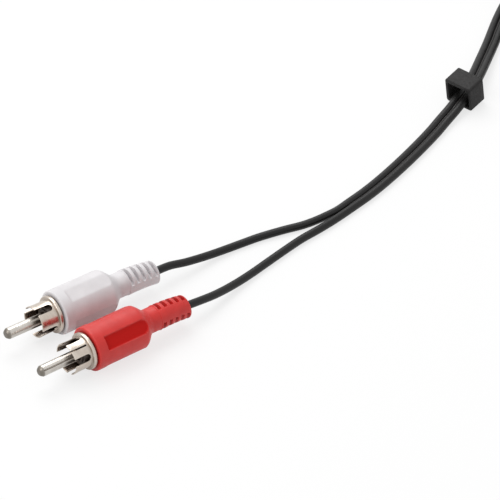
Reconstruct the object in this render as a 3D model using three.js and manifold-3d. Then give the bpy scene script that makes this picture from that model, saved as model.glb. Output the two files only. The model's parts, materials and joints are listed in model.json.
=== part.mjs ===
// Stereo audio lead: a twin cord with a white and a red phono plug at each end,
// and a small slider block where the two strands stay joined.
// Millimetres, +Z up. The near pair of plugs lies along X with the pins towards -X.
// The origin is under the middle of the near pair, on the surface that the lead lies on.
import * as THREE from 'three';
import { mergeVertices } from 'three/addons/utils/BufferGeometryUtils.js';
import Module from 'manifold-3d';

const wasm = await Module();
wasm.setup();

// Clearance between pieces that are pressed, moulded or laid against each other.
const clearance = 0.3;
// How far a cut runs past the faces that it opens.
const cutBeyond = 1.0;

// Centre pin
const pinRadius = 1.59;
const pinTipRadius = 1.0;
const pinTipLength = 0.9;
const pinTipEdgeRadius = 1.37;
const pinTipEdgeLength = 0.36;
const pinBeyondShell = 9.2;
const pinBeadRadius = 2.05;
const pinBeadLength = 1.2;
const solderCupRadius = 1.35;
const solderCupLength = 4.2;
const solderCupBore = 0.85;
const solderCupDepth = 2.6;
const pinSeamWidth = 0.36;
const pinSeamDepth = 0.3;

// Ground shell
const shellRadius = 4.4;
const shellFlare = 0.12;
const shellWall = 0.35;
const petalLength = 5.5;
const petalFlareLength = 2.2;
const slotWidth = 2.1;
const slotLength = 5.1;
const seamWidth = 0.5;
const flangeRadius = 5.35;
const flangeThickness = 1.1;
const flangeChamfer = 0.2;
const collarRadius = 4.0;
const collarLength = 3.0;
const lugLength = 4.5;
const lugRoot = 1.0;
const lugWidth = 2.4;
const lugThickness = 0.45;

// Insulator between the pin and the shell
const insulatorRecess = 3.4;
const insulatorLip = 1.2;

// Overmould: the soft coloured body with its strain relief
const bodyRadius = 6.35;
const bodyLength = 15.7;
const rimChamfer = 0.35;
const shoulderLength = 4.5;
const shoulderSteps = 5;
const neckRadius = 3.5;
const neckLength = 2.6;
const reliefStartRadius = 3.65;
const reliefEndRadius = 3.35;
const reliefLength = 10.2;
const reliefEndRound = 0.5;
const reliefSag = 0.8;
const reliefStiff = 1.6;
const sagSteps = 4;
const cavityTaperLength = 2.0;
const cavityTailWall = 1.2;
const mouthStep = 0.2;

// Grip panels moulded into two sides of the body, and a flat on each of the other two
const panelStart = 3.0;
const panelLength = 11.9;
const panelWidth = 4.0;
const panelEndLength = 2.0;
const panelEndSteps = 6;
const panelFloor = 5.6;
const flatStart = 3.5;
const flatLength = 13.4;
const flatDistance = 6.0;

// Slots cut into two sides of the strain relief, which leave a spine on the other two
const reliefSlots = 5;
const reliefSlotPitch = 2.03;
const reliefSlotWidth = 0.95;
const reliefSlotFirst = 0.9;
const reliefCoreWall = 0.4;
const spineDepth = 0.7;

// Inner mould, and the stripped cord end inside each plug
const innerMouldRadius = 3.8;
const innerMouldBore = 1.75;
const innerMouldEndRadius = 2.25;
const signalWireRadius = 0.5;
const shieldWireRadius = 0.45;
const shieldWireStart = 0.8;
const shieldWireBend = 3.0;
const shieldWireBendDrop = 1.5;
const shieldWireEndDrop = 1.2;

// Cord
const strandRadius = 1.14;
const strandPitch = 2.4;
const jacketStripped = 3.0;

// Slider block on the twin cord
const sliderLength = 6.0;
const sliderWall = 0.95;
const sliderFloor = 1.0;
const sliderRoof = 1.3;
const sliderBevel = 0.6;
const slotSideRoom = 1.23;
const slotTopRoom = 3.58;
const sliderMiddle = [147.45, 25.68];
const sliderHeading = 13.5;
const sliderPitch = 8;

// Coil of the stored length, two layers of twin cord wound on edge
const coilCentre = [214.4, 38.3];
const coilInnerRadius = 13.1;
const coilOuterRadius = 28.8;
const coilHeight = 9.4;
const coilRound = 1.2;

// Sides that round pieces are built with
const bodySides = 24;
const shellSides = 24;
const pinSides = 16;
const innerSides = 16;
const cordSides = 8;
const wireSides = 6;
const wireSteps = 8;
const coilSides = 40;

// Where the four plugs lie: middle of the plug, heading of the pin end, roll about its axis,
// and how far the slots in its ground shell are turned from the sides of its body
const plugPlaces = {
  near_left: { middle: [0.95, 8.85], heading: -0.8, roll: -70, shellTurn: 0 },
  near_right: { middle: [-1.45, -9.25], heading: 0.8, roll: 54, shellTurn: 20.7 },
  far_left: { middle: [194, -9.4], heading: 0, roll: 30, shellTurn: 12 },
  far_right: { middle: [194, 5], heading: 0, roll: -20, shellTurn: -28 },
};

// Routes of the cord where it isn't coiled
const nearLeftRoute = [
  [25.8, 8.5, 5.5], [31.3, 9.2, 4.6], [36.4, 9.0, 3.55], [41.6, 9.1, 2.6], [46.6, 9.3, 1.8],
  [51.9, 9.3, 1.3], [56.7, 9.0, 1.16], [61.3, 8.5, 1.16], [69, 7.0, 1.16], [73.7, 5.8, 1.16],
  [76.3, 5.4, 1.16], [78.9, 5.2, 1.16], [81.7, 5.2, 1.16], [85.1, 5.25, 1.16],
];
const nearRightRoute = [
  [23.4, -8.9, 5.5], [28.9, -8.3, 4.5], [33.1, -7.6, 3.6], [37.1, -6.7, 2.8], [43.1, -5.2, 1.85],
  [49.6, -3.6, 1.3], [56, -2.1, 1.16], [63, -0.6, 1.16], [70.3, 0.8, 1.16], [76, 1.4, 1.16],
  [79.1, 1.8, 1.16], [82.2, 2.25, 1.16], [85.6, 2.9, 1.16],
];
const twinRoute = [
  [86.2, 4.2, 1.16], [99, 7, 1.16], [113.6, 11.7, 1.16], [129.2, 17.9, 1.16], [134.5, 20.3, 1.36],
  [139.7, 22.3, 1.96], [143.8, 23.9, 2.85], [149, 26.4, 3.25], [155.1, 30.6, 2.95],
  [161.3, 35.6, 1.96], [166.6, 39.8, 1.36], [171.8, 43.9, 1.16], [177, 48.1, 1.16],
  [183.5, 52.9, 1.16], [188.9, 56.5, 1.16],
];
const farLeftRoute = [
  [243.6, 30.1, 7.4], [244.4, 23, 6.3], [244.4, 15, 4.1], [242.8, 7.3, 2.2], [239.8, 0.3, 1.6],
  [234.5, -5.7, 2.2], [227.5, -9.1, 4.1], [218.9, -9.4, 5.5],
];
const farRightRoute = [
  [241.9, 25.55, 5.2], [241.4, 19, 3.6], [238.8, 11.7, 2.0], [233.8, 6.8, 2.0], [227.5, 5.1, 4.0],
  [218.9, 5, 5.5],
];

// Steps that each route is built with
const nearTailSteps = 13;
const twinSteps = 23;
const farLeftSteps = 12;
const farRightSteps = 11;

// Stations along a plug, from the tip of its pin
const shellFront = pinBeyondShell;
const flangeFront = shellFront + petalLength;
const flangeBack = flangeFront + flangeThickness;
const bodyFront = flangeBack + clearance;
const shoulderStart = bodyFront + bodyLength;
const neckStart = shoulderStart + shoulderLength;
const reliefStart = neckStart + neckLength;
const sagStart = reliefStart + reliefStiff;
const plugLength = reliefStart + reliefLength;
const insulatorFront = shellFront + insulatorRecess;
const beadPocketFront = insulatorFront + insulatorLip;
const collarBack = flangeBack + collarLength;
const innerMouldFront = collarBack + clearance;
const innerMouldBack = shoulderStart + cavityTailWall;
const cordEndFront = innerMouldBack - jacketStripped;
const cordHole = strandRadius + clearance;
const reliefCoreHalf = cordHole + reliefCoreWall;

// Sizes of the slider block that follow the twin cord
const sliderSlotWidth = strandPitch + 2 * strandRadius + 2 * slotSideRoom;
const sliderSlotHeight = 2 * strandRadius + slotTopRoom;
const sliderWidth = sliderSlotWidth + 2 * sliderWall;
const sliderHeight = sliderFloor + sliderSlotHeight + sliderRoof;

const materials = {
  nickel: { color: 0xcfc9bf, roughness: 0.22, metalness: 1 },
  whitePlastic: { color: 0xe4dfe2, roughness: 0.45, metalness: 0 },
  redPlastic: { color: 0xc83634, roughness: 0.4, metalness: 0 },
  blackPlastic: { color: 0x1c1b1b, roughness: 0.5, metalness: 0 },
  naturalPlastic: { color: 0xe9e6dc, roughness: 0.6, metalness: 0 },
  blackCord: { color: 0x2b2a2b, roughness: 0.45, metalness: 0 },
  greyBlock: { color: 0x464444, roughness: 0.6, metalness: 0 },
  copper: { color: 0xb87333, roughness: 0.4, metalness: 1 },
};

// Turns a closed three.js geometry into a solid that can be cut and joined.
function solidOf(geometry) {
  const bare = geometry.index ? geometry.toNonIndexed() : geometry.clone();
  for (const name of Object.keys(bare.attributes)) {
    if (name !== 'position') bare.deleteAttribute(name);
  }
  const merged = mergeVertices(bare, 1e-4);
  return new wasm.Manifold(new wasm.Mesh({
    numProp: 3,
    vertProperties: new Float32Array(merged.attributes.position.array),
    triVerts: new Uint32Array(merged.index.array),
  }));
}

// Turns a solid back into a geometry.
function geometryOf(solid) {
  const mesh = solid.getMesh();
  const geometry = new THREE.BufferGeometry();
  geometry.setAttribute('position', new THREE.BufferAttribute(mesh.vertProperties, 3));
  geometry.setIndex(new THREE.BufferAttribute(mesh.triVerts, 1));
  geometry.computeVertexNormals();
  return geometry;
}

// How far the strain relief hangs below the plug's axis at a station.
function sagAt(x) {
  const share = Math.max(0, (x - sagStart) / (plugLength - sagStart));
  return reliefSag * share * share;
}

// Stations that the sagging end is built with, from its start to the given end.
function sagStations(end) {
  const stations = [];
  for (let step = 0; step < sagSteps; step += 1) {
    stations.push(sagStart + (end - sagStart) * (step / sagSteps));
  }
  return stations;
}

// A body turned about X from a list of [x, radius] points in order of rising x on its outside.
// Where down is given, as [y, z], the body hangs that way at its cord end.
function turned(points, sides, down) {
  const profile = points.map(([x, radius]) => new THREE.Vector2(radius, x));
  const geometry = new THREE.LatheGeometry(profile, sides);
  geometry.rotateZ(-Math.PI / 2);
  if (down) {
    const places = geometry.attributes.position;
    for (let corner = 0; corner < places.count; corner += 1) {
      const sag = sagAt(places.getX(corner));
      places.setY(corner, places.getY(corner) + down[0] * sag);
      places.setZ(corner, places.getZ(corner) + down[1] * sag);
    }
  }
  return solidOf(geometry);
}

// A box given by its lowest and highest corners.
function block(low, high) {
  const size = high.map((value, axis) => value - low[axis]);
  const geometry = new THREE.BoxGeometry(...size);
  geometry.translate(...low.map((value, axis) => value + size[axis] / 2));
  return solidOf(geometry);
}

// A smooth curve that keeps the outline swept along it level, so that the twin cord lies flat.
class LevelCurve extends THREE.CatmullRomCurve3 {
  computeFrenetFrames(segments) {
    const frames = { tangents: [], normals: [], binormals: [] };
    for (let step = 0; step <= segments; step += 1) {
      const tangent = this.getTangentAt(step / segments);
      const normal = new THREE.Vector3(0, 0, 1).addScaledVector(tangent, -tangent.z).normalize();
      frames.tangents.push(tangent);
      frames.normals.push(normal);
      frames.binormals.push(new THREE.Vector3().crossVectors(tangent, normal));
    }
    return frames;
  }
}

// A tube along a route: an outline swept along a smooth curve through the points.
function swept(outline, points, steps) {
  const curve = new LevelCurve(points.map((point) => new THREE.Vector3(...point)));
  return new THREE.ExtrudeGeometry(outline, { steps, bevelEnabled: false, extrudePath: curve });
}

// A regular outline with the given number of sides, for round cord and wire.
function roundOutline(radius, sides) {
  const corners = [];
  for (let side = 0; side < sides; side += 1) {
    const angle = ((side + 0.5) / sides) * 2 * Math.PI;
    corners.push(new THREE.Vector2(radius * Math.cos(angle), radius * Math.sin(angle)));
  }
  return new THREE.Shape(corners);
}

// The outline of two strands side by side. Its long way becomes the width of the twin cord.
function twinOutline() {
  const corners = [];
  for (const side of [1, -1]) {
    for (let step = 0; step <= cordSides / 2; step += 1) {
      const angle = (step / (cordSides / 2)) * Math.PI;
      const across = side * (strandPitch / 2 + strandRadius * Math.sin(angle));
      corners.push(new THREE.Vector2(side * strandRadius * Math.cos(angle), across));
    }
  }
  return new THREE.Shape(corners);
}

function centrePin() {
  const beadStart = beadPocketFront + clearance;
  const beadEnd = beadStart + pinBeadLength;
  const cupEnd = beadEnd + solderCupLength;
  const pin = turned([
    [0, 0], [0, pinTipRadius], [pinTipEdgeLength, pinTipEdgeRadius], [pinTipLength, pinRadius],
    [beadStart, pinRadius], [beadStart, pinBeadRadius], [beadEnd, pinBeadRadius],
    [beadEnd, solderCupRadius], [cupEnd, solderCupRadius], [cupEnd, solderCupBore],
    [cupEnd - solderCupDepth, solderCupBore], [cupEnd - solderCupDepth, 0],
  ], pinSides);
  const seam = block(
    [pinTipLength, -pinSeamWidth / 2, pinRadius - pinSeamDepth],
    [beadStart - clearance, pinSeamWidth / 2, pinRadius + cutBeyond],
  );
  return geometryOf(pin.subtract(seam));
}

function groundShell(turn) {
  const inner = shellRadius - shellWall;
  const collarInner = collarRadius - shellWall;
  const shell = turned([
    [shellFront, inner + shellFlare], [shellFront, shellRadius + shellFlare],
    [shellFront + petalFlareLength, shellRadius], [flangeFront, shellRadius],
    [flangeFront, flangeRadius - flangeChamfer], [flangeFront + flangeChamfer, flangeRadius],
    [flangeBack - flangeChamfer, flangeRadius], [flangeBack, flangeRadius - flangeChamfer],
    [flangeBack, collarRadius], [collarBack, collarRadius], [collarBack, collarInner],
    [flangeFront, collarInner], [shellFront + petalFlareLength, inner],
    [shellFront, inner + shellFlare],
  ], shellSides);
  let slotted = shell;
  const reach = flangeRadius + cutBeyond;
  const cutStart = shellFront - cutBeyond;
  const cutEnd = shellFront + slotLength;
  const half = slotWidth / 2;
  for (const quarterTurn of [0, 90]) {
    const slot = block([cutStart, -half, -reach], [cutEnd, half, reach]);
    slotted = slotted.subtract(slot.rotate([turn + quarterTurn, 0, 0]));
  }
  const seam = block([cutStart, -seamWidth / 2, 0], [cutEnd, seamWidth / 2, reach]);
  slotted = slotted.subtract(seam.rotate([turn - 45, 0, 0]));
  const lug = block(
    [collarBack - lugRoot, -lugWidth / 2, -collarInner - shellWall / 2],
    [collarBack + lugLength, lugWidth / 2, -collarInner - shellWall / 2 + lugThickness],
  );
  return geometryOf(slotted.add(lug));
}

function insulator() {
  const outer = collarRadius - shellWall - clearance;
  const bore = pinRadius + clearance;
  const beadStart = beadPocketFront;
  const beadEnd = beadStart + clearance * 2 + pinBeadLength;
  const back = collarBack - clearance;
  const beadBore = pinBeadRadius + clearance;
  const cupBore = solderCupRadius + clearance;
  return geometryOf(turned([
    [insulatorFront, bore], [insulatorFront, outer], [back, outer], [back, cupBore],
    [beadEnd, cupBore], [beadEnd, beadBore], [beadStart, beadBore], [beadStart, bore],
    [insulatorFront, bore],
  ], innerSides));
}

function innerMould() {
  const mould = turned([
    [innerMouldFront, innerMouldBore], [innerMouldFront, innerMouldRadius],
    [innerMouldBack - cavityTaperLength, innerMouldRadius], [innerMouldBack, innerMouldEndRadius],
    [innerMouldBack, innerMouldBore], [innerMouldFront, innerMouldBore],
  ], innerSides);
  const lugRoom = block(
    [innerMouldFront - cutBeyond, -lugWidth / 2 - clearance, -innerMouldRadius - cutBeyond],
    [cordEndFront - clearance, lugWidth / 2 + clearance, 0],
  );
  return geometryOf(mould.subtract(lugRoom));
}

// The pocket of a grip panel: straight sides and a round end towards the strain relief.
function panelPocket(side) {
  const half = panelWidth / 2;
  const start = bodyFront + panelStart;
  const straightEnd = start + panelLength;
  const outline = new THREE.Shape();
  outline.moveTo(start, -half);
  outline.lineTo(straightEnd, -half);
  for (let step = 1; step < panelEndSteps; step += 1) {
    const angle = (step / panelEndSteps) * Math.PI;
    outline.lineTo(straightEnd + panelEndLength * Math.sin(angle), -half * Math.cos(angle));
  }
  outline.lineTo(straightEnd, half);
  outline.lineTo(start, half);
  const geometry = new THREE.ExtrudeGeometry(outline, { depth: bodyRadius, bevelEnabled: false });
  geometry.translate(0, 0, panelFloor);
  if (side < 0) geometry.rotateX(Math.PI);
  return solidOf(geometry);
}

function overmould(down) {
  const mouthRadius = collarRadius + clearance;
  const cavityRadius = innerMouldRadius + clearance;
  const cavityBack = innerMouldBack + clearance;
  const taperStart = innerMouldBack - cavityTaperLength;
  const reliefRoundStart = plugLength - reliefEndRound;
  const reliefRadiusAt = (x) => reliefStartRadius
    - (reliefStartRadius - reliefEndRadius) * (x - reliefStart) / (reliefRoundStart - reliefStart);
  const shoulder = [];
  for (let step = 1; step < shoulderSteps; step += 1) {
    const share = step / shoulderSteps;
    const drop = (bodyRadius - neckRadius) * (1 - Math.cos(share * Math.PI)) / 2;
    shoulder.push([shoulderStart + share * shoulderLength, bodyRadius - drop]);
  }
  let body = turned([
    [bodyFront, mouthRadius], [bodyFront, bodyRadius - rimChamfer],
    [bodyFront + rimChamfer, bodyRadius], [shoulderStart, bodyRadius], ...shoulder,
    [neckStart, neckRadius], [reliefStart, neckRadius], [reliefStart, reliefStartRadius],
    ...sagStations(reliefRoundStart).map((x) => [x, reliefRadiusAt(x)]),
    [reliefRoundStart, reliefEndRadius], [plugLength, reliefEndRadius - reliefEndRound],
    [plugLength, cordHole], ...sagStations(plugLength).reverse().map((x) => [x, cordHole]),
    [cavityBack, cordHole],
    [cavityBack, innerMouldEndRadius + clearance], [taperStart, cavityRadius],
    [innerMouldFront, cavityRadius], [innerMouldFront - mouthStep, mouthRadius],
    [bodyFront, mouthRadius],
  ], bodySides, down);
  for (const side of [1, -1]) {
    body = body.subtract(panelPocket(side));
    const flatLow = side > 0 ? flatDistance : -bodyRadius - cutBeyond;
    const flatHigh = side > 0 ? bodyRadius + cutBeyond : -flatDistance;
    body = body.subtract(block(
      [bodyFront + flatStart, flatLow, -bodyRadius],
      [bodyFront + flatStart + flatLength, flatHigh, bodyRadius],
    ));
    for (let slot = 0; slot < reliefSlots; slot += 1) {
      const middle = reliefStart + reliefSlotFirst + slot * reliefSlotPitch;
      const low = side > 0 ? reliefCoreHalf : -reliefStartRadius - cutBeyond;
      const high = side > 0 ? reliefStartRadius + cutBeyond : -reliefCoreHalf;
      const slotHalf = reliefSlotWidth / 2;
      const reliefSlot = block(
        [middle - slotHalf, low, -reliefStartRadius + spineDepth],
        [middle + slotHalf, high, reliefStartRadius - spineDepth],
      );
      const sag = sagAt(middle);
      body = body.subtract(reliefSlot.translate([0, down[0] * sag, down[1] * sag]));
    }
  }
  return geometryOf(body);
}

function cordEnd(down) {
  const end = plugLength - clearance;
  return geometryOf(turned([
    [cordEndFront, 0], [cordEndFront, strandRadius],
    ...sagStations(end).map((x) => [x, strandRadius]), [end, strandRadius], [end, 0],
  ], cordSides, down));
}

function signalWire() {
  const cupEnd = beadPocketFront + clearance + pinBeadLength + solderCupLength;
  return geometryOf(turned([
    [cupEnd - solderCupDepth + clearance, 0], [cupEnd - solderCupDepth + clearance, signalWireRadius],
    [cordEndFront - clearance, signalWireRadius], [cordEndFront - clearance, 0],
  ], cordSides));
}

function shieldWire() {
  const lugTop = -(collarRadius - shellWall) - shellWall / 2 + lugThickness;
  const seat = lugTop + clearance + shieldWireRadius;
  return swept(roundOutline(shieldWireRadius, wireSides), [
    [collarBack + shieldWireStart, 0, seat], [collarBack + lugLength, 0, seat],
    [cordEndFront - shieldWireBend, 0, -shieldWireBendDrop],
    [cordEndFront - clearance, 0, -shieldWireEndDrop],
  ], wireSteps);
}

function sliderBlock() {
  const halfLength = sliderLength / 2;
  const halfWidth = sliderWidth / 2;
  const outline = new THREE.Shape();
  outline.moveTo(-halfWidth + sliderBevel, 0);
  outline.lineTo(halfWidth - sliderBevel, 0);
  outline.lineTo(halfWidth, sliderBevel);
  outline.lineTo(halfWidth, sliderHeight - sliderBevel);
  outline.lineTo(halfWidth - sliderBevel, sliderHeight);
  outline.lineTo(-halfWidth + sliderBevel, sliderHeight);
  outline.lineTo(-halfWidth, sliderHeight - sliderBevel);
  outline.lineTo(-halfWidth, sliderBevel);
  const geometry = new THREE.ExtrudeGeometry(outline, { depth: sliderLength, bevelEnabled: false });
  geometry.translate(0, 0, -halfLength);
  geometry.rotateX(Math.PI / 2);
  geometry.rotateZ(Math.PI / 2);
  const slot = block(
    [-halfLength - cutBeyond, -sliderSlotWidth / 2, sliderFloor],
    [halfLength + cutBeyond, sliderSlotWidth / 2, sliderFloor + sliderSlotHeight],
  );
  return geometryOf(solidOf(geometry).subtract(slot));
}

function coilRing() {
  const low = coilRound;
  const high = coilHeight - coilRound;
  const inside = coilInnerRadius + coilRound;
  const outside = coilOuterRadius - coilRound;
  const profile = [
    [coilInnerRadius, low], [inside, 0], [outside, 0], [coilOuterRadius, low],
    [coilOuterRadius, high], [outside, coilHeight], [inside, coilHeight],
    [coilInnerRadius, high], [coilInnerRadius, low],
  ].map(([radius, height]) => new THREE.Vector2(radius, height));
  const geometry = new THREE.LatheGeometry(profile, coilSides);
  geometry.rotateX(Math.PI / 2);
  return geometryOf(solidOf(geometry));
}

function piece(name, geometry, look) {
  const mesh = new THREE.Mesh(geometry, new THREE.MeshStandardMaterial(materials[look]));
  mesh.name = name;
  return mesh;
}

function plug(name, look) {
  const place = plugPlaces[name];
  const roll = THREE.MathUtils.degToRad(place.roll);
  const down = [-Math.sin(roll), -Math.cos(roll)];
  const pieces = new THREE.Group();
  pieces.add(
    piece(`${name}_centre_pin`, centrePin(), 'nickel'),
    piece(`${name}_ground_shell`, groundShell(place.shellTurn), 'nickel'),
    piece(`${name}_insulator`, insulator(), 'blackPlastic'),
    piece(`${name}_inner_mould`, innerMould(), 'naturalPlastic'),
    piece(`${name}_overmould`, overmould(down), look),
    piece(`${name}_cord_end`, cordEnd(down), 'blackCord'),
    piece(`${name}_signal_wire`, signalWire(), 'copper'),
    piece(`${name}_shield_wire`, shieldWire(), 'copper'),
  );
  for (const mesh of pieces.children) mesh.position.x = -plugLength / 2;
  pieces.rotation.x = roll;
  const lying = new THREE.Group();
  lying.add(pieces);
  lying.rotation.z = THREE.MathUtils.degToRad(place.heading);
  lying.position.set(place.middle[0], place.middle[1], bodyRadius);
  return lying;
}

const lead = new THREE.Group();
lead.add(
  plug('near_left', 'whitePlastic'),
  plug('near_right', 'redPlastic'),
  plug('far_left', 'whitePlastic'),
  plug('far_right', 'redPlastic'),
);

const strandOutline = roundOutline(strandRadius, cordSides);
lead.add(
  piece('near_left_tail', swept(strandOutline, nearLeftRoute, nearTailSteps), 'blackCord'),
  piece('near_right_tail', swept(strandOutline, nearRightRoute, nearTailSteps), 'blackCord'),
  piece('twin_cord', swept(twinOutline(), twinRoute, twinSteps), 'blackCord'),
  piece('far_left_tail', swept(strandOutline, farLeftRoute, farLeftSteps), 'blackCord'),
  piece('far_right_tail', swept(strandOutline, farRightRoute, farRightSteps), 'blackCord'),
);

const slider = piece('slider_block', sliderBlock(), 'greyBlock');
slider.position.x = sliderLength / 2;
const sliderTilt = new THREE.Group();
sliderTilt.add(slider);
sliderTilt.rotation.y = -THREE.MathUtils.degToRad(sliderPitch);
sliderTilt.position.x = -sliderLength / 2;
const sliderPlace = new THREE.Group();
sliderPlace.add(sliderTilt);
sliderPlace.rotation.z = THREE.MathUtils.degToRad(sliderHeading);
sliderPlace.position.set(sliderMiddle[0], sliderMiddle[1], 0);
lead.add(sliderPlace);

const coil = piece('coiled_cord', coilRing(), 'blackCord');
coil.position.set(coilCentre[0], coilCentre[1], 0);
lead.add(coil);

export default lead;
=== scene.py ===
import json
import math

import bmesh
import bpy
from mathutils import Matrix, Vector


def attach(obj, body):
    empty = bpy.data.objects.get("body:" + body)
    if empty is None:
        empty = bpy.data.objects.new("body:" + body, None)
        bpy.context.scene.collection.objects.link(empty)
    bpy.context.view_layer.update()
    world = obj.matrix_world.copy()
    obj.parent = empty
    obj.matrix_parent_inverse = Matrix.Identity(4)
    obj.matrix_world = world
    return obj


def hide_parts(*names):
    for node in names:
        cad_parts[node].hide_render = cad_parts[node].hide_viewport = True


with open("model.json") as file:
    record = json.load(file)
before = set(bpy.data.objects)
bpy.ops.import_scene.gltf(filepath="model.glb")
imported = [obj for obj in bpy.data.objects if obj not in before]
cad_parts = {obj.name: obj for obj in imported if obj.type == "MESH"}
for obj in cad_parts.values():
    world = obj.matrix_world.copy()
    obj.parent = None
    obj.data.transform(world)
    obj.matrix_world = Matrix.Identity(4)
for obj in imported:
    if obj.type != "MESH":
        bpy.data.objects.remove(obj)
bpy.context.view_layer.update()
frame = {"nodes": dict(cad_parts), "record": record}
nodes = frame["nodes"]
scene = bpy.context.scene
mm = 0.001

# the camera stands where the photograph was taken from
photoView = {
    "target": (0.05681, 0.00656, 0.0),
    "azimuth": -37.0,
    "elevation": 37.0,
    "distance": 2.0,
    "lens": 524.55,
    "clip": (0.2, 20.0),
}


def placeCamera(view):
    azimuth = math.radians(view["azimuth"])
    elevation = math.radians(view["elevation"])
    back = Vector((math.sin(azimuth) * math.cos(elevation),
                   -math.cos(azimuth) * math.cos(elevation), math.sin(elevation)))
    data = bpy.data.cameras.new("photoCamera")
    data.lens = view["lens"]
    data.clip_start, data.clip_end = view["clip"]
    camera = bpy.data.objects.new("photoCamera", data)
    scene.collection.objects.link(camera)
    camera.location = Vector(view["target"]) + back * view["distance"]
    camera.rotation_euler = back.to_track_quat("Z", "Y").to_euler()
    scene.camera = camera


placeCamera(photoView)
print("camera placed")

# the cord's route in metres, through the places that the solids' cords go through: the near tails
# from inside their strain reliefs, the twin cord, its turn onto edge, and the far tails
cordRoute = {
    "nearLeft": [
        (0.02525, 0.0085, 0.0056), (0.0258, 0.0085, 0.0055), (0.0313, 0.0092, 0.0046),
        (0.0364, 0.0090, 0.00355), (0.0416, 0.0091, 0.0026), (0.0466, 0.0093, 0.0018),
        (0.0519, 0.0093, 0.0013), (0.0567, 0.0090, 0.00116), (0.0613, 0.0085, 0.00116),
        (0.0690, 0.0070, 0.00116), (0.0737, 0.0058, 0.00116), (0.0763, 0.0054, 0.00116),
        (0.0789, 0.0052, 0.00116), (0.0817, 0.0052, 0.00116),
    ],
    "nearRight": [
        (0.02285, -0.0089, 0.0056), (0.0234, -0.0089, 0.0055), (0.0289, -0.0083, 0.0045),
        (0.0331, -0.0076, 0.0036), (0.0371, -0.0067, 0.0028), (0.0431, -0.0052, 0.00185),
        (0.0496, -0.0036, 0.0013), (0.0560, -0.0021, 0.00116), (0.0630, -0.0006, 0.00116),
        (0.0703, 0.0008, 0.00116), (0.0760, 0.0014, 0.00116), (0.0791, 0.0018, 0.00116),
        (0.0822, 0.00225, 0.00116),
    ],
    "twin": [
        (0.0862, 0.0042, 0.00116), (0.0990, 0.0070, 0.00116), (0.1136, 0.0117, 0.00116),
        (0.1292, 0.0179, 0.00116), (0.1345, 0.0203, 0.00136), (0.1397, 0.0223, 0.00196),
        (0.1438, 0.0239, 0.00285), (0.1490, 0.0264, 0.00325), (0.1551, 0.0306, 0.00295),
        (0.1613, 0.0356, 0.00196), (0.1666, 0.0398, 0.00136), (0.1718, 0.0439, 0.00116),
        (0.1770, 0.0481, 0.00116), (0.1835, 0.0529, 0.00116), (0.1889, 0.0565, 0.00116),
    ],
    "ontoEdge": [(0.1950, 0.0603, 0.0016), (0.2015, 0.0634, 0.0021), (0.2080, 0.0652, 0.00234)],
    "farLeft": [
        (0.2436, 0.0301, 0.0074), (0.2444, 0.0230, 0.0063), (0.2444, 0.0150, 0.0041),
        (0.2428, 0.0073, 0.0022), (0.2398, 0.0003, 0.0016), (0.2345, -0.0057, 0.0022),
        (0.2275, -0.0091, 0.0041), (0.2189, -0.0094, 0.0055), (0.2183, -0.0094, 0.0056),
    ],
    "farRight": [
        (0.2419, 0.02555, 0.0052), (0.2414, 0.0190, 0.0036), (0.2388, 0.0117, 0.0020),
        (0.2338, 0.0068, 0.0020), (0.2275, 0.0051, 0.0040), (0.2189, 0.0050, 0.0055),
        (0.2183, 0.0050, 0.0056),
    ],
}

twinCord = {
    "strandRadius": 1.14 * mm,
    "strandPitch": 2.4 * mm,
    "webHalfThickness": 0.36 * mm,
    "webReach": 0.3,  # share of the pitch, to each side of the middle
    "webTaper": 5,  # samples over which the web thins out at each end
    "sampleStep": 1.3 * mm,
    "guideEvery": 4,  # samples of the twin cord between two points that guide a strand
    "roundness": 6,  # Blender's bevel resolution
    "ontoEdgeFrom": 0.186,  # the cord turns from lying flat to standing on edge between these x
    "ontoEdgeTo": 0.210,
    "strandLength": 1.7,  # the length given for each strand, from plug to plug
    "leftExit": (0.0255, 0.0085, 0.00555),  # where the strands leave the near strain reliefs
    "rightExit": (0.0231, -0.0089, 0.00555),
}

coil = {
    "centre": (0.2144, 0.0383),
    "innerRadius": 14.13 * mm,
    "turnPitch": 2.38 * mm,
    "turns": 11.25,
    "layerHeights": (2.36 * mm, 7.05 * mm),
    "climbTurns": 0.24,  # turns over which the cord climbs to the upper layer
    "crownTurns": 0.05,  # rounds the change from winding inwards to winding outwards
    "pointsPerTurn": 36,
}


def smoothStep(low, high, value):
    share = min(1.0, max(0.0, (value - low) / (high - low)))
    return share * share * (3 - 2 * share)


def lineThrough(points, step):
    # centripetal curve through the points, then evenly spaced along its length
    points = [Vector(p) for p in points]
    chain = [2 * points[0] - points[1], *points, 2 * points[-1] - points[-2]]
    dense = []
    for a, b, c, d in zip(chain, chain[1:], chain[2:], chain[3:]):
        knots = [0.0]
        for p, q in ((a, b), (b, c), (c, d)):
            knots.append(knots[-1] + max((q - p).length, 1e-9) ** 0.5)
        count = max(2, int((c - b).length / (0.25 * mm)))
        for i in range(count):
            t = knots[1] + (knots[2] - knots[1]) * i / count
            one = a.lerp(b, (t - knots[0]) / (knots[1] - knots[0]))
            two = b.lerp(c, (t - knots[1]) / (knots[2] - knots[1]))
            three = c.lerp(d, (t - knots[2]) / (knots[3] - knots[2]))
            four = one.lerp(two, (t - knots[0]) / (knots[2] - knots[0]))
            five = two.lerp(three, (t - knots[1]) / (knots[3] - knots[1]))
            dense.append(four.lerp(five, (t - knots[1]) / (knots[2] - knots[1])))
    dense.append(points[-1])
    along = [0.0]
    for p, q in zip(dense, dense[1:]):
        along.append(along[-1] + (q - p).length)
    count = max(2, round(along[-1] / step))
    line, place = [], 0
    for i in range(count + 1):
        goal = along[-1] * i / count
        while place < len(along) - 2 and along[place + 1] < goal:
            place += 1
        share = (goal - along[place]) / max(along[place + 1] - along[place], 1e-12)
        line.append(dense[place].lerp(dense[place + 1], min(1.0, share)))
    return line


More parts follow.
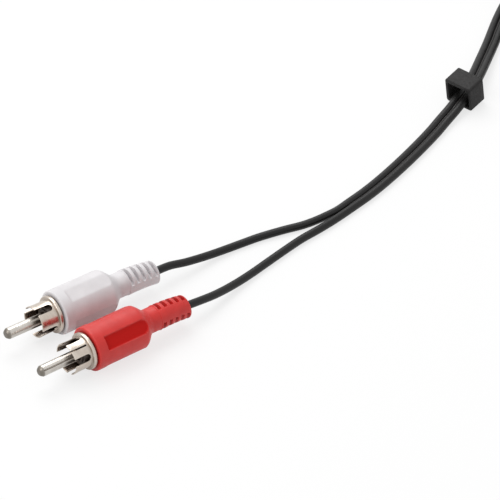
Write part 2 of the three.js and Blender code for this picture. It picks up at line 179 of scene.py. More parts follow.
def coilPoints():
    # inwards in the lower layer, up at the innermost turn and outwards again in the upper layer
    half = coil["turns"] / 2
    count = round(coil["turns"] * coil["pointsPerTurn"])
    low, high = coil["layerHeights"]
    points = []
    for i in range(count + 1):
        turn = -half + coil["turns"] * i / count
        radius = coil["innerRadius"] + coil["turnPitch"] * math.hypot(turn, coil["crownTurns"])
        angle = math.pi / 2 - 2 * math.pi * (turn + half)
        rise = smoothStep(-coil["climbTurns"] / 2, coil["climbTurns"] / 2, turn)
        points.append((coil["centre"][0] + radius * math.cos(angle),
                       coil["centre"][1] + radius * math.sin(angle), low + (high - low) * rise))
    return points


def twinLines():
    # the middle of the twin cord, each strand beside or above it, and the web's two directions
    middle = lineThrough(cordRoute["twin"] + cordRoute["ontoEdge"] + coilPoints(),
                         twinCord["sampleStep"])
    left, right, sides = [], [], []
    onEdge = 0.0
    for i, point in enumerate(middle):
        heading = (middle[min(i + 1, len(middle) - 1)] - middle[max(i - 1, 0)]).normalized()
        level = Vector((-heading.y, heading.x, 0)).normalized()
        up = heading.cross(level)
        if onEdge < 1:
            onEdge = smoothStep(twinCord["ontoEdgeFrom"], twinCord["ontoEdgeTo"], point.x)
        roll = onEdge * math.pi / 2
        side = level * math.cos(roll) + up * math.sin(roll)
        sides.append((side, heading.cross(side).normalized()))
        left.append(point + side * twinCord["strandPitch"] / 2)
        right.append(point - side * twinCord["strandPitch"] / 2)
    return middle, left, right, sides


twinMiddle, twinLeft, twinRight, twinSides = twinLines()


def strandCurve(name, tail, joined, farTail):
    # one unbroken strand from a near plug, along the twin cord, to a far plug
    every = twinCord["guideEvery"]
    points = tail + joined[::every] + [joined[-1]] * (len(joined) % every != 1) + farTail
    line = lineThrough(points, twinCord["sampleStep"])
    data = bpy.data.curves.new(name, "CURVE")
    data.dimensions = "3D"
    data.bevel_depth = twinCord["strandRadius"]
    data.bevel_resolution = twinCord["roundness"]
    data.use_fill_caps = True
    spline = data.splines.new("POLY")
    spline.points.add(len(line) - 1)
    for place, point in zip(spline.points, line):
        place.co = (*point, 1.0)
    spline.use_smooth = True
    strand = bpy.data.objects.new(name, data)
    scene.collection.objects.link(strand)
    length = sum((b - a).length for a, b in zip(line, line[1:]))
    print(name, "is", round(length, 4), "m long")
    return strand


leftStrand = strandCurve("leftStrand", cordRoute["nearLeft"], twinLeft, cordRoute["farLeft"])
rightStrand = strandCurve("rightStrand", cordRoute["nearRight"], twinRight, cordRoute["farRight"])


def meshPiece(name, rings, capped=False, wrapped=False, sharp=38):
    # rings of points joined by quads; wrapped closes the last ring onto the first
    mesh = bpy.data.meshes.new(name)
    build = bmesh.new()
    rows = [[build.verts.new(p) for p in ring] for ring in rings]
    pairs = list(zip(rows, rows[1:])) + ([(rows[-1], rows[0])] if wrapped else [])
    for one, two in pairs:
        for k in range(len(one)):
            m = (k + 1) % len(one)
            build.faces.new((one[k], one[m], two[m], two[k]))
    if capped:
        build.faces.new(rows[0])
        build.faces.new(rows[-1])
    bmesh.ops.recalc_face_normals(build, faces=build.faces)
    build.to_mesh(mesh)
    build.free()
    mesh.shade_smooth()
    mesh.set_sharp_from_angle(angle=math.radians(sharp))
    piece = bpy.data.objects.new(name, mesh)
    scene.collection.objects.link(piece)
    return piece


def webPiece():
    # the thin web between the strands, thinning out at both ends
    rings = []
    last = len(twinMiddle) - 1
    for i, point in enumerate(twinMiddle):
        fade = min(1.0, (min(i, last - i) + 1) / twinCord["webTaper"])
        side, out = twinSides[i]
        across = side * twinCord["strandPitch"] * twinCord["webReach"]
        thick = out * twinCord["webHalfThickness"] * fade
        rings.append([point + across + thick, point - across + thick,
                      point - across - thick, point + across - thick])
    web = meshPiece("cordWeb", rings, capped=True, sharp=80)
    # marks the whole web for a painted highlight: a paler colour in the jacket's material
    paintedHighlight = web.data.attributes.new("paintedHighlight", "FLOAT", "POINT")
    for mark in paintedHighlight.data:
        mark.value = 1
    return web


cordWeb = webPiece()
print("cords laid")

# the middle of each plug in metres, and in degrees its heading, its roll, and how far the slots of
# its shell are turned from the sides of its body
plugPlaces = {
    "near_left": {"middle": (0.00095, 0.00885), "heading": -0.8, "roll": -70, "shellTurn": 0},
    "near_right": {"middle": (-0.00145, -0.00925), "heading": 0.8, "roll": 54, "shellTurn": 20.7},
    "far_left": {"middle": (0.194, -0.0094), "heading": 0, "roll": 30, "shellTurn": 12},
    "far_right": {"middle": (0.194, 0.0050), "heading": 0, "roll": -20, "shellTurn": -28},
}

# a plug's pieces are made in millimetres, with their places counted from the tip of the pin
overmould = {
    "front": 16.1, "bodyRadius": 6.35, "rimRound": 0.45, "mouthRadius": 4.15,
    "shoulderStart": 31.8, "shoulderEnd": 36.3, "neckRadius": 3.5,
    "reliefStart": 38.9, "reliefRadius": 3.65, "reliefEndRadius": 3.35, "reliefRound": 0.15,
    "end": 49.1, "endRound": 0.5, "sag": 0.8, "sagFrom": 40.5,
    "cordHole": 1.16, "holeRound": 0.12, "holeStep": 0.7,  # rings at this step let the hole sag
    "mouthRound": 0.1, "mouthEnd": 18.9,
    "hollow": ((33.3, 2.55), (31.0, 4.1), (19.1, 4.1)),  # place and radius, from the cord forwards
    "panelFrom": 19.1, "panelTo": 31.0, "panelPoint": 2.0, "panelHalfWidth": 2.0,
    "panelFloor": 5.6, "panelEdge": 0.16,
    "panelSkin": (5.5, 6.0),  # distances from the axis between which the skin looks like a panel
    "flatFrom": 19.6, "flatTo": 33.0, "flatDistance": 6.0, "flatFade": 0.7,
    "slots": 5, "slotFirst": 39.8, "slotPitch": 2.03, "slotWidth": 0.95,
    "slotCore": 1.84, "slotReach": 57, "slotEdge": 0.06,
    "sides": 144,
}


def overmouldBase(x):
    # the skin's radius before its flats, panels and slots
    o = overmould
    if x < o["front"] + o["rimRound"]:
        back = o["front"] + o["rimRound"] - x
        return o["bodyRadius"] - o["rimRound"] + math.sqrt(max(0, o["rimRound"] ** 2 - back ** 2))
    if x <= o["shoulderStart"]:
        return o["bodyRadius"]
    if x < o["shoulderEnd"]:
        share = (x - o["shoulderStart"]) / (o["shoulderEnd"] - o["shoulderStart"])
        drop = (1 - math.cos(share * math.pi)) / 2
        return o["bodyRadius"] - (o["bodyRadius"] - o["neckRadius"]) * drop
    if x <= o["reliefStart"]:
        return o["neckRadius"]
    share = (x - o["reliefStart"]) / (o["end"] - o["reliefStart"])
    radius = o["reliefRadius"] + (o["reliefEndRadius"] - o["reliefRadius"]) * share
    front = o["reliefStart"] + o["reliefRound"] - x
    if front > 0:
        radius += math.sqrt(max(0, o["reliefRound"] ** 2 - front ** 2)) - o["reliefRound"]
    tail = x - (o["end"] - o["endRound"])
    if tail > 0:
        radius += math.sqrt(max(0, o["endRound"] ** 2 - tail ** 2)) - o["endRound"]
    return radius


def panelShare(x, side):
    # 1 inside the outline of a grip panel, 0 outside, for a station and a distance to the side
    o = overmould
    inside = min(x - o["panelFrom"], o["panelHalfWidth"] - side)
    if x > o["panelTo"]:
        reach = math.hypot((x - o["panelTo"]) / o["panelPoint"], side / o["panelHalfWidth"])
        inside = min(inside, (1 - reach) * o["panelHalfWidth"])
    return smoothStep(-o["panelEdge"], o["panelEdge"], inside)


def overmouldRadius(x, angle):
    # the moulded skin at a station and an angle from the plug's own +Y
    o = overmould
    radius = overmouldBase(x)
    acrossFlat, acrossPanel = abs(math.cos(angle)), abs(math.sin(angle))
    if acrossFlat > 0.5:
        fade = smoothStep(o["flatFrom"] - o["flatFade"], o["flatFrom"], x)
        fade *= 1 - smoothStep(o["flatTo"], o["flatTo"] + o["flatFade"], x)
        radius -= fade * max(0.0, radius - o["flatDistance"] / acrossFlat)
    if acrossPanel > 0.5:
        depth = panelShare(x, abs(radius * math.cos(angle)))
        radius -= depth * max(0.0, radius - o["panelFloor"] / acrossPanel)
    for slot in range(o["slots"]):
        away = abs(x - o["slotFirst"] - slot * o["slotPitch"])
        if away < o["slotWidth"]:
            cut = 1 - smoothStep(-o["slotEdge"], o["slotEdge"], away - o["slotWidth"] / 2)
            turned = math.degrees(math.acos(min(1.0, acrossFlat)))
            cut *= 1 - smoothStep(o["slotReach"] - 1.5, o["slotReach"] + 1.5, turned)
            radius -= cut * max(0.0, radius - o["slotCore"] / max(acrossFlat, 0.3))
    return radius


def overmouldStations():
    # where the skin gets a ring of points: close together wherever its form changes quickly
    o = overmould
    marks = [o["front"] + o["rimRound"] * (1 - math.cos(k * math.pi / 12)) for k in range(7)]
    marks += [o["front"] + 0.6 + 0.42 * k for k in range(39)]
    marks += [o["panelFrom"] + 0.07 * k for k in range(-4, 5)]
    marks += [o["panelTo"] + 0.12 * k for k in range(0, 20)]
    marks += [o["shoulderStart"] + 0.2 * k for k in range(23)]
    marks += [o["shoulderEnd"] + 0.6 * k for k in range(5)]
    marks += [o["reliefStart"] + d for d in (0, 0.002, 0.02, 0.06, 0.12, 0.18, 0.5)]
    for slot in range(o["slots"]):
        middle = o["slotFirst"] + slot * o["slotPitch"]
        for edge in (-o["slotWidth"] / 2, o["slotWidth"] / 2):
            marks += [middle + edge + o["slotEdge"] * k for k in (-1.01, -0.4, 0.4, 1.01)]
        marks.append(middle)
        marks.append(middle + o["slotPitch"] / 2)
    marks += [o["end"] - o["endRound"] * (1 - math.sin(k * math.pi / 12)) for k in range(7)]
    marks.sort()
    kept = [marks[0]]
    for x in marks[1:]:
        if x - kept[-1] > 0.0015 and x <= o["end"] + 1e-6:
            kept.append(x)
    return kept


def ringAt(x, radius, sides):
    angles = [2 * math.pi * k / sides for k in range(sides)]
    if callable(radius):
        return [Vector((x, radius(x, a) * math.cos(a), radius(x, a) * math.sin(a))) for a in angles]
    return [Vector((x, radius * math.cos(a), radius * math.sin(a))) for a in angles]


def overmouldPiece(name):
    # the skin from the mouth to the end of the relief, then back along the cord hole and the hollow
    o = overmould
    rings = [ringAt(o["front"], o["mouthRadius"] + o["mouthRound"], o["sides"]),
             ringAt(o["front"], o["bodyRadius"] - o["rimRound"] - 0.3, o["sides"])]
    rings += [ringAt(x, overmouldRadius, o["sides"]) for x in overmouldStations()]
    inside = [(o["end"], o["cordHole"] + o["holeRound"]), (o["end"] - o["holeRound"], o["cordHole"])]
    inside += [(o["end"] - o["holeStep"] * k, o["cordHole"]) for k in range(1, 15)]
    inside += [(o["hollow"][0][0], o["cordHole"]), *o["hollow"], (o["mouthEnd"], o["mouthRadius"]),
               (o["front"] + o["mouthRound"], o["mouthRadius"])]
    rings += [ringAt(x, r, o["sides"]) for x, r in inside]
    piece = meshPiece(name, rings, wrapped=True, sharp=42)
    panel = piece.data.attributes.new("panel", "FLOAT", "POINT")
    low, high = o["panelSkin"]
    for corner, mark in zip(piece.data.vertices, panel.data):
        x, y, z = corner.co
        mark.value = panelShare(x, abs(y)) * (low < abs(z) < high)
    return piece


groundShell = {
    "front": 9.2, "flangeFront": 14.7, "flangeBack": 15.8, "collarBack": 18.8,
    "radius": 4.4, "wall": 0.35, "flare": 0.12, "flareLength": 2.2, "lip": 0.16,
    "flangeRadius": 5.35, "flangeRound": 0.26, "collarRadius": 4.0,
    "slotWidth": 2.1, "slotEnd": 14.3, "seamWidth": 0.5, "seamTurn": -45, "edgeRound": 0.05,
    "lug": ((17.8, -1.2, -3.825), (23.3, 1.2, -3.375)),  # two opposite corners
    "sides": 120,
}


def quarter(x, radius, size, start, steps=4):
    # a quarter round about (x, radius), from the angle start, a quarter turn clockwise
    turn = math.pi / 2 / steps
    return [(x + size * math.cos(start - k * turn), radius + size * math.sin(start - k * turn))
            for k in range(steps + 1)]


def shellProfile():
    # the shell's section: back along its outside from the front lip, and forward along its bore
    s = groundShell
    outer = s["radius"] + s["flare"]
    inner = outer - s["wall"]
    straight = s["front"] + s["flareLength"]
    lip, r = s["lip"], s["flangeRound"]
    points = quarter(s["front"] + lip, outer - lip, lip, math.pi)
    points += [(s["front"] + s["flareLength"] / 2, s["radius"] + s["flare"] * 0.35),
               (straight, s["radius"]), (s["flangeFront"] - 0.25, s["radius"]),
               (s["flangeFront"] - 0.07, s["radius"] + 0.07), (s["flangeFront"], s["radius"] + 0.25)]
    points += quarter(s["flangeFront"] + r, s["flangeRadius"] - r, r, math.pi)
    points += quarter(s["flangeBack"] - r, s["flangeRadius"] - r, r, math.pi / 2)
    points += [(s["flangeBack"], s["collarRadius"]), (s["collarBack"], s["collarRadius"]),
               (s["collarBack"], s["collarRadius"] - s["wall"]),
               (s["flangeFront"], s["collarRadius"] - s["wall"]),
               (s["flangeFront"] - 1.2, s["radius"] - s["wall"]), (straight, s["radius"] - s["wall"]),
               (s["front"] + s["flareLength"] / 2, inner - s["flare"] * 0.65),
               (s["front"] + lip, inner), (s["front"] + 0.04, inner + 0.06)]
    return points


def slotCutter(width, turn, through=True):
    # a slot with a round end, turned about the shell, right through it or on one side only
    s = groundShell
    half = width / 2
    outline = [(s["front"] - 1, -half)]
    outline += [(s["slotEnd"] - half + half * math.sin(k * math.pi / 12),
                 -half * math.cos(k * math.pi / 12)) for k in range(13)]
    outline.append((s["front"] - 1, half))
    reach = s["flangeRadius"] + 1
    low = -reach if through else 0
    rings = [[Vector((x, w, level)) for x, w in outline] for level in (low, reach)]
    cutter = meshPiece("slotCutter", rings, capped=True)
    cutter.data.transform(Matrix.Rotation(math.radians(turn), 4, "X"))
    return cutter


def lugBlock():
    low, high = groundShell["lug"]
    ends = []
    for x in (low[0], high[0]):
        ends.append([Vector((x, y, z)) for y, z in ((low[1], low[2]), (high[1], low[2]),
                                                    (high[1], high[2]), (low[1], high[2]))])
    return meshPiece("solderLug", ends, capped=True)


def settleModifiers(piece):
    # turns a piece with its modifiers into a plain mesh
    view = bpy.context.evaluated_depsgraph_get()
    mesh = bpy.data.meshes.new_from_object(piece.evaluated_get(view))
    piece.modifiers.clear()
    piece.data = mesh


def shellPiece(name, turn):
    # a turned shell, cut into four petals, with its seam and its solder lug
    s = groundShell
    shell = meshPiece(name, [ringAt(x, r, s["sides"]) for x, r in shellProfile()], wrapped=True)
    tools = [(slotCutter(s["slotWidth"], turn), "DIFFERENCE"),
             (slotCutter(s["slotWidth"], turn + 90), "DIFFERENCE"),
             (slotCutter(s["seamWidth"], turn + s["seamTurn"], through=False), "DIFFERENCE"),
             (lugBlock(), "UNION")]
    for tool, way in tools:
        cut = shell.modifiers.new(way, "BOOLEAN")
        cut.operation, cut.solver, cut.object = way, "EXACT", tool
    soften = shell.modifiers.new("pressedEdges", "BEVEL")
    soften.width, soften.segments = s["edgeRound"], 2
    soften.limit_method, soften.angle_limit = "ANGLE", math.radians(50)
    bpy.context.view_layer.update()
    settleModifiers(shell)
    for tool, _ in tools:
        bpy.data.objects.remove(tool)
    shell.data.shade_smooth()
    shell.data.set_sharp_from_angle(angle=math.radians(38))
    return shell


centrePin = {
    "radius": 1.59, "tipRadius": 1.0, "tipLength": 0.9, "tipFlat": 0.5,
    "tipShoulder": (0.36, 1.3),  # place and radius of a ring on the nose's curve
    "bead": (14.1, 15.3, 2.05),  # front, back and radius
    "cup": (19.5, 1.35, 0.85, 16.9),  # back, radius, bore and the floor of the bore
    "seamWidth": 0.3, "seamDepth": 0.28, "seamEdge": 0.06, "seamTo": 13.8,
    "noseBlend": 0.2,  # length over which the nose's darker look fades, before and behind its end
    "sides": 96,
}


def pinPiece(name):
    # the pin from its tip to its solder cup, with the open seam of the rolled metal along it
    p = centrePin
    start, end, beadRadius = p["bead"]
    cupEnd, cupRadius, cupBore, cupFloor = p["cup"]

    def grooved(base):
        def radius(x, angle):
            away = abs((angle - math.pi / 2 + math.pi) % (2 * math.pi) - math.pi) * p["radius"]
            half, edge = p["seamWidth"] / 2, p["seamEdge"]
            cut = 1 - smoothStep(half - edge, half + edge, away)
            begun = smoothStep(p["tipLength"] - 0.1, p["tipLength"] + 0.3, x)
            return base - p["seamDepth"] * cut * begun
        return radius

    rings = [ringAt(x, r, p["sides"]) for x, r in (
        (0, 0.02), (0, p["tipFlat"]), (0, p["tipRadius"] - 0.06), (0.04, p["tipRadius"] + 0.02),
        p["tipShoulder"], (p["tipLength"] - 0.1, p["radius"] - 0.04))]
    marks = [p["tipLength"], 1.0, 1.1, 1.2, 3.0, 6.0, 9.0, p["seamTo"] - 0.1]
    rings += [ringAt(x, grooved(p["radius"]), p["sides"]) for x in marks]
    rings += [ringAt(x, r, p["sides"]) for x, r in (
        (p["seamTo"], p["radius"]), (start, p["radius"]), (start, beadRadius - 0.1),
        (start + 0.1, beadRadius), (end - 0.1, beadRadius), (end, beadRadius - 0.1),
        (end, cupRadius), (cupEnd - 0.05, cupRadius), (cupEnd, cupRadius - 0.05),
        (cupEnd, cupBore), (cupFloor, cupBore), (cupFloor, 0.02))]
    piece = meshPiece(name, rings, capped=True)
    nose = piece.data.attributes.new("nose", "FLOAT", "POINT")
    for corner, mark in zip(piece.data.vertices, nose.data):
        mark.value = 1 - smoothStep(p["tipLength"] - p["noseBlend"],
                                    p["tipLength"] + p["noseBlend"], corner.co.x)
    return piece


insulatorRing = {
    "front": 12.6, "back": 18.5, "bore": 1.66, "outer": 3.3,
    "pocket": (13.8, 15.6, 2.35),  # front, back and radius of the room for the pin's bead
    "cupBore": 1.65, "step": 0.35, "stepRadius": 2.5, "sides": 64,
}


def insulatorPiece(name):
    i = insulatorRing
    pocketFront, pocketBack, pocketRadius = i["pocket"]
    face = i["front"] + i["step"]
    profile = [(i["front"] + 0.1, i["bore"]), (i["front"], i["bore"] + 0.12),
               (i["front"], i["stepRadius"] - 0.1), (i["front"] + 0.08, i["stepRadius"]),
               (face, i["stepRadius"] + 0.06), (face, i["outer"] - 0.1),
               (face + 0.1, i["outer"]), (i["back"], i["outer"]),
               (i["back"], i["cupBore"]), (pocketBack, i["cupBore"]), (pocketBack, pocketRadius),
               (pocketFront, pocketRadius), (pocketFront, i["bore"])]
    return meshPiece(name, [ringAt(x, r, i["sides"]) for x, r in profile], wrapped=True)


# sizes in millimetres, its place on the floor in metres
sliderBlock = {
    "length": 6.0, "width": 9.04, "height": 8.16, "cornerRound": 0.85,
    "slotWidth": 7.14, "slotHeight": 5.86, "slotLow": 1.0, "slotRound": 0.45,
    "edgeRound": 0.28, "middleRings": 1.0,  # one ring this far before the middle, one behind it
    "middle": (0.14745, 0.02568), "heading": 13.5, "pitch": 8,
}


def roundedLoop(x, width, low, high, corner, grow, steps=6, straight=5):
    # a rectangle with round corners in the plane of a station, grown or shrunk by grow
    half, low, high = width / 2 + grow, low - grow, high + grow
    corner = max(0.05, corner + grow)
    centres = [(half - corner, high - corner, 0), (-half + corner, high - corner, 90),
               (-half + corner, low + corner, 180), (half - corner, low + corner, 270)]
    loop = []
    for k, (y, z, start) in enumerate(centres):
        arc = [Vector((x, y + corner * math.cos(math.radians(start + 90 * s / steps)),
                       z + corner * math.sin(math.radians(start + 90 * s / steps))))
               for s in range(steps + 1)]
        y2, z2, start2 = centres[(k + 1) % 4]
        after = Vector((x, y2 + corner * math.cos(math.radians(start2)),
                        z2 + corner * math.sin(math.radians(start2))))
        loop += arc + [arc[-1].lerp(after, s / straight) for s in range(1, straight)]
    return loop


def sliderPiece():
    # rounded loops along the block's outside, and back through its slot
    s = sliderBlock
    half, r, mid = s["length"] / 2, s["edgeRound"], s["middleRings"]
    rings = []
    bend = [k * math.pi / 8 for k in range(5)]
    outerSteps = [(-half + r - r * math.cos(a), -r + r * math.sin(a)) for a in bend]
    outerSteps += [(-mid, 0), (mid, 0)]
    outerSteps += [(half - r + r * math.sin(a), -r + r * math.cos(a)) for a in bend]
    innerSteps = [(half - r + r * math.cos(a), r - r * math.sin(a)) for a in bend]
    innerSteps += [(mid, 0), (-mid, 0)]
    innerSteps += [(-half + r - r * math.sin(a), r - r * math.cos(a)) for a in bend]
    for x, grow in outerSteps:
        rings.append(roundedLoop(x, s["width"], 0, s["height"], s["cornerRound"], grow))
    for x, grow in innerSteps:
        rings.append(roundedLoop(x, s["slotWidth"], s["slotLow"], s["slotLow"] + s["slotHeight"],
                                 s["slotRound"], grow))
    return meshPiece("sliderBlock", rings, wrapped=True, sharp=50)


def putOnPlug(piece, place):
    # lays a piece where its plug lies; the strain relief hangs a little towards the cord
    o, lies = overmould, plugPlaces[place]
    roll = math.radians(lies["roll"])
    down = Vector((0, -math.sin(roll), -math.cos(roll)))
    for corner in piece.data.vertices:
        share = max(0, (corner.co.x - o["sagFrom"] * mm) / ((o["end"] - o["sagFrom"]) * mm))
        corner.co += down * (o["sag"] * mm * share * share)
    piece.data.transform(
        Matrix.Translation((*lies["middle"], o["bodyRadius"] * mm))
        @ Matrix.Rotation(math.radians(lies["heading"]), 4, "Z")
        @ Matrix.Rotation(roll, 4, "X")
        @ Matrix.Translation((-o["end"] / 2 * mm, 0, 0)))


plugParts = {}


def putOnPlugs(part, pattern, places):
    # a copy of the pattern for each of the places, and the pattern itself is cleared away
    pattern.data.transform(Matrix.Scale(mm, 4))
    for place in places:
        piece = bpy.data.objects.new(place + "_" + part + "Piece", pattern.data.copy())
        scene.collection.objects.link(piece)
        putOnPlug(piece, place)
        plugParts[place, part] = piece
    print(part, "made,", len(pattern.data.polygons), "faces")
    bpy.data.objects.remove(pattern)


for part, make in {"overmould": overmouldPiece, "centre_pin": pinPiece,
                   "insulator": insulatorPiece}.items():
    putOnPlugs(part, make("pattern"), plugPlaces)
for place, lies in plugPlaces.items():
    putOnPlugs("ground_shell", shellPiece("pattern", lies["shellTurn"]), [place])

slider = sliderPiece()
slider.data.transform(Matrix.Scale(mm, 4))
slider.data.transform(
    Matrix.Translation((*sliderBlock["middle"], 0))
    @ Matrix.Rotation(math.radians(sliderBlock["heading"]), 4, "Z")
    @ Matrix.Translation((-sliderBlock["length"] / 2 * mm, 0, 0))
    @ Matrix.Rotation(-math.radians(sliderBlock["pitch"]), 4, "Y")
    @ Matrix.Translation((sliderBlock["length"] / 2 * mm, 0, 0)))
print("slider made")


class Finish:
    # one procedural material, with short ways to add what its surface shows
    def __init__(self, name, colour, roughness, metallic=0.0):
        self.material = bpy.data.materials.new(name)
        self.material.use_nodes = True
        self.nodes = self.material.node_tree.nodes
        self.links = self.material.node_tree.links
        self.shader = self.nodes["Principled BSDF"]
        self.shader.inputs["Base Color"].default_value = (*colour, 1)
        self.shader.inputs["Roughness"].default_value = roughness
        self.shader.inputs["Metallic"].default_value = metallic
        self.place = self.nodes.new("ShaderNodeTexCoord").outputs["Object"]
        self.height = None

    def stretched(self, scale):
        mapping = self.nodes.new("ShaderNodeMapping")
        mapping.inputs["Scale"].default_value = scale
        self.links.new(self.place, mapping.inputs["Vector"])
        return mapping.outputs["Vector"]

    def noise(self, scale, detail, stretch=(1, 1, 1), contrast=0.5):
        node = self.nodes.new("ShaderNodeTexNoise")
        node.inputs["Scale"].default_value = scale
        node.inputs["Detail"].default_value = detail
        node.inputs["Roughness"].default_value = contrast
        self.links.new(self.stretched(stretch), node.inputs["Vector"])
        return node.outputs["Fac"]

    def ranged(self, value, low, high, fromLow=0.3, fromHigh=0.7):
        node = self.nodes.new("ShaderNodeMapRange")
        node.inputs["From Min"].default_value = fromLow
        node.inputs["From Max"].default_value = fromHigh
        node.inputs["To Min"].default_value = low
        node.inputs["To Max"].default_value = high
        self.links.new(value, node.inputs["Value"])
        return node.outputs["Result"]

    def tint(self, value, dark, light):
        node = self.nodes.new("ShaderNodeMix")
        node.data_type = "RGBA"
        node.inputs["A"].default_value = (*dark, 1)
        node.inputs["B"].default_value = (*light, 1)
        self.links.new(self.ranged(value, 0, 1), node.inputs["Factor"])
        self.links.new(node.outputs["Result"], self.shader.inputs["Base Color"])

    def gloss(self, value, low, high):
        self.links.new(self.ranged(value, low, high), self.shader.inputs["Roughness"])

    def marked(self, mark):
        node = self.nodes.new("ShaderNodeAttribute")
        node.attribute_name = mark
        return node.outputs["Fac"]

    def paintedHollowShade(self, reach):
        # 1 deep in a hollow of this reach, 0 on open surface: how much painted shade goes into the
        # hollows
        node = self.nodes.new("ShaderNodeAmbientOcclusion")
        node.samples = 8
        node.inputs["Distance"].default_value = reach
        return self.ranged(node.outputs["AO"], 1, 0, 0.3, 0.9)

    def shade(self, amount, colour):
        # lays a colour over what there is, by the amount
        base = self.shader.inputs["Base Color"]
        node = self.nodes.new("ShaderNodeMix")
        node.data_type = "RGBA"
        self.links.new(amount, node.inputs["Factor"])
        self.links.new(base.links[0].from_socket, node.inputs["A"])
        node.inputs["B"].default_value = (*colour, 1)
        self.links.new(node.outputs["Result"], base)

    def smooth(self, amount, less, specular):
        # less rough and less reflective where the amount is 1
        rough = self.shader.inputs["Roughness"]
        node = self.nodes.new("ShaderNodeMath")
        node.operation = "MULTIPLY_ADD"
        node.inputs[1].default_value = -less
        self.links.new(amount, node.inputs[0])
        self.links.new(rough.links[0].from_socket, node.inputs[2])
        self.links.new(node.outputs[0], rough)
        self.links.new(self.ranged(amount, *specular, 0, 1),
                       self.shader.inputs["Specular IOR Level"])

    def relief(self, value, depth, strength):
        # several reliefs add up, each on top of the one before
        bump = self.nodes.new("ShaderNodeBump")
        bump.inputs["Distance"].default_value = depth
        bump.inputs["Strength"].default_value = strength
        self.links.new(value, bump.inputs["Height"])
        if self.height:
            self.links.new(self.height, bump.inputs["Normal"])
        self.height = bump.outputs["Normal"]
        self.links.new(self.height, self.shader.inputs["Normal"])


finishes = {
    "whiteSkin": {"dark": (0.63, 0.61, 0.622), "light": (0.70, 0.68, 0.692), "gloss": (0.42, 0.54),
                  "panel": (0.62, 0.59, 0.60)},
    "redSkin": {"dark": (0.54, 0.022, 0.019), "light": (0.62, 0.03, 0.025), "gloss": (0.4, 0.52),
                "panel": (0.52, 0.013, 0.011)},
    # the brown colours at the end of each nickel look are painted shade, laid into the hollows as far
    # as their reach
    "shellNickel": {"dark": (0.51, 0.445, 0.385), "light": (0.64, 0.575, 0.505),
                    "gloss": (0.25, 0.35), "paintedShade": (0.11, 0.062, 0.036),
                    "paintedShadeReach": 0.0045, "along": (1, 0.25, 0.25)},
    "pinNickel": {"dark": (0.52, 0.49, 0.45), "light": (0.63, 0.60, 0.555),
                  "gloss": (0.3, 0.4), "paintedShade": (0.17, 0.115, 0.075),
                  "paintedShadeReach": 0.0045, "along": (0.08, 1, 1), "nose": (0.2, 0.18, 0.155)},
    # the web colour is a painted highlight, paler than the jacket where light catches between the
    # strands
    "jacket": {"dark": (0.004, 0.004, 0.004), "light": (0.0065, 0.006, 0.006),
               "gloss": (0.36, 0.44), "specular": 0.3, "web": (0.03, 0.027, 0.026)},
    "blockGrain": {"dark": (0.017, 0.0165, 0.0165), "light": (0.027, 0.026, 0.026),
                   "gloss": (0.5, 0.7), "specular": 0.2},
    "insulator": {"light": (0.05, 0.036, 0.028), "gloss": 0.45},
    "innerMould": {"light": (0.76, 0.72, 0.62), "gloss": 0.5},
    "copper": {"dark": (0.5, 0.24, 0.13), "light": (0.76, 0.42, 0.25), "gloss": 0.35},
}


def mouldedSkin(name, look):
    # soft moulded plastic: fine spark-eroded grain, slow cloudiness, a little handling shine
    skin = Finish(name, look["light"], look["gloss"][0])
    skin.tint(skin.noise(260, 4), look["dark"], look["light"])
    skin.gloss(skin.noise(700, 3), *look["gloss"])
    skin.relief(skin.noise(5200, 2), 0.000012, 0.5)
    skin.relief(skin.noise(420, 2), 0.00005, 0.35)
    panel = skin.marked("panel")
    skin.shade(panel, look["panel"])
    skin.smooth(panel, 0.12, (0.45, 0.05))
    return skin.material


def nickelPlate(name, look):
    # bright plate over drawn metal: faint lines one way, cloudy patches, painted brown shade in the
    # hollows, and a darker nose where the piece has one
    plate = Finish(name, look["light"], look["gloss"][0], 1.0)
    plate.tint(plate.noise(520, 4), look["dark"], look["light"])
    plate.gloss(plate.noise(1300, 4, look["along"]), *look["gloss"])
    plate.relief(plate.noise(3800, 3, look["along"]), 0.000002, 0.4)
    plate.relief(plate.noise(500, 2), 0.000008, 0.3)
    if "nose" in look:
        plate.shade(plate.marked("nose"), look["nose"])
    # painted shade: the base colour turns dark brown in the hollows, where shadow falls
    plate.shade(plate.paintedHollowShade(look["paintedShadeReach"]), look["paintedShade"])
    return plate.material


def cordJacket(name, look):
    # extruded jacket: a faint bloom, uneven shine and a fine grain, with the web given a paler colour
    # as a painted highlight along the valley between the strands
    jacket = Finish(name, look["light"], look["gloss"][0])
    jacket.tint(jacket.noise(180, 4), look["dark"], look["light"])
    jacket.gloss(jacket.noise(420, 4), *look["gloss"])
    jacket.relief(jacket.noise(2600, 3), 0.00001, 0.5)
    # painted highlight: the web gets a paler colour than the strands
    jacket.shade(jacket.marked("paintedHighlight"), look["web"])
    jacket.shader.inputs["Specular IOR Level"].default_value = look["specular"]
    return jacket.material


def blockGrain(name, look):
    # hard plastic with a coarse spark-eroded grain
    grain = Finish(name, look["light"], look["gloss"][0])
    grain.tint(grain.noise(900, 4), look["dark"], look["light"])
    grain.gloss(grain.noise(2200, 3), *look["gloss"])
    grain.relief(grain.noise(3600, 3, contrast=0.65), 0.00003, 0.8)
    grain.shader.inputs["Specular IOR Level"].default_value = look["specular"]
    return grain.material


def plainPlastic(name, look):
    # plastic inside the plug, a little darker in places
    plastic = Finish(name, look["light"], look["gloss"])
    plastic.tint(plastic.noise(600, 3), [c * 0.88 for c in look["light"]], look["light"])
    plastic.relief(plastic.noise(2600, 2), 0.00001, 0.5)
    return plastic.material


def strandedCopper(name, look):
    # bare strands, shown as light and dark lines along the wire
    copper = Finish(name, look["light"], look["gloss"], 1.0)
    copper.tint(copper.noise(1500, 3, (0.15, 1, 1)), look["dark"], look["light"])
    copper.relief(copper.noise(5000, 2, (0.2, 1, 1)), 0.00004, 0.8)
    return copper.material


